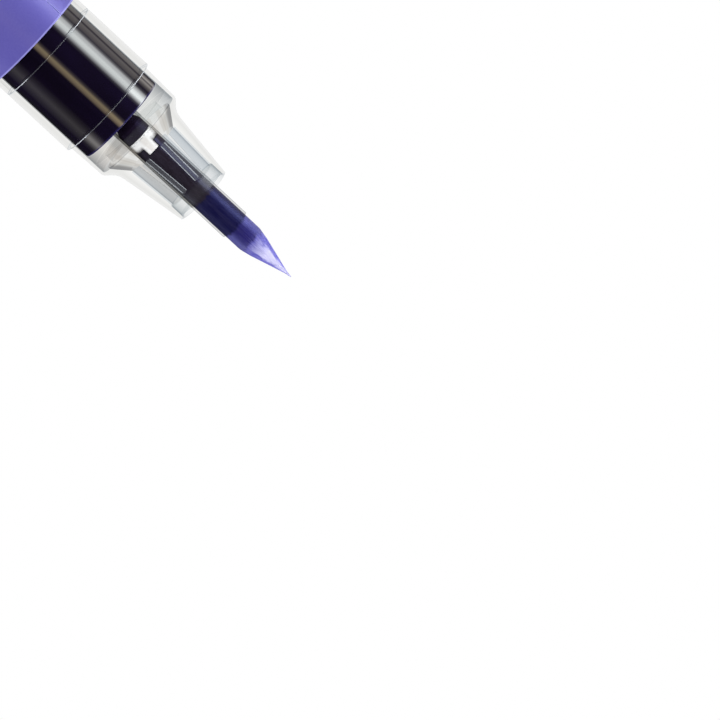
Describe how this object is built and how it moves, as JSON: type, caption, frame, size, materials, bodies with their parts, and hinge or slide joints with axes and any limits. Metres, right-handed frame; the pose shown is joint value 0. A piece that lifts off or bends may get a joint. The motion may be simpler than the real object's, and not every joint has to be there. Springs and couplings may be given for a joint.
{
  "type": "paint marker",
  "caption": "Paint marker with a pointed brush nib in a clear ribbed nose, an inner ink tank with a spring valve, a labelled round barrel and a cap posted on its rear.",
  "frame": {"origin": "centre of the posted cap's flat end, which the marker stands on", "axes": "+Z along the marker towards the nib, -Y towards the side that the picture shows"},
  "size_m": [0.0164, 0.0164, 0.1627],
  "materials": {
    "clear_plastic": "polished, clear",
    "lavender_plastic": "satin",
    "label_film": "satin film",
    "ink_stained_plastic": "glossy",
    "nib_fibre": "matte, wet",
    "white_plastic": "satin",
    "silicone": "matte, translucent",
    "black_rubber": "matte",
    "steel": "polished",
    "foam": "open cell"
  },
  "bodies": {
    "cap": {"cap_shell": "lavender_plastic", "cap_liner": "white_plastic"},
    "marker": {"end_plug": "lavender_plastic", "barrel": "clear_plastic", "label": "label_film", "nose_section": "clear_plastic", "front_bushing": "clear_plastic", "tank": "ink_stained_plastic", "tank_plug": "white_plastic", "tank_plug_seal": "black_rubber", "cushion_pad": "foam", "valve_housing": "clear_plastic", "housing_seal": "black_rubber", "tank_gasket": "silicone", "spring_retainer": "white_plastic", "valve_spring": "steel"},
    "nib_unit": {"valve_plunger": "white_plastic", "valve_seal": "black_rubber", "ink_feed": "ink_stained_plastic", "nib_holder": "white_plastic", "nib_sleeve": "clear_plastic", "brush_nib": "nib_fibre"},
    "ball_a": {"mixing_ball_a": "steel"},
    "ball_b": {"mixing_ball_b": "steel"}
  },
  "joints": [
    {"name": "cap_pull", "type": "slide", "parent": "cap", "child": "marker", "axis": [0, 0, 1], "range_m": [0, 0.03]},
    {"name": "nib_press", "type": "slide", "parent": "marker", "child": "nib_unit", "axis": [0, 0, -1], "range_m": [0, 0.0015], "stiffness_N_per_m": 800, "springref_m": -0.001, "deforming": ["valve_spring"]},
    {"name": "ball_a_roll", "type": "slide", "parent": "marker", "child": "ball_a", "axis": [0, 0, 1], "range_m": [0, 0.0575]},
    {"name": "ball_b_roll", "type": "slide", "parent": "marker", "child": "ball_b", "axis": [0, 0, 1], "range_m": [0, 0.0575]}
  ]
}
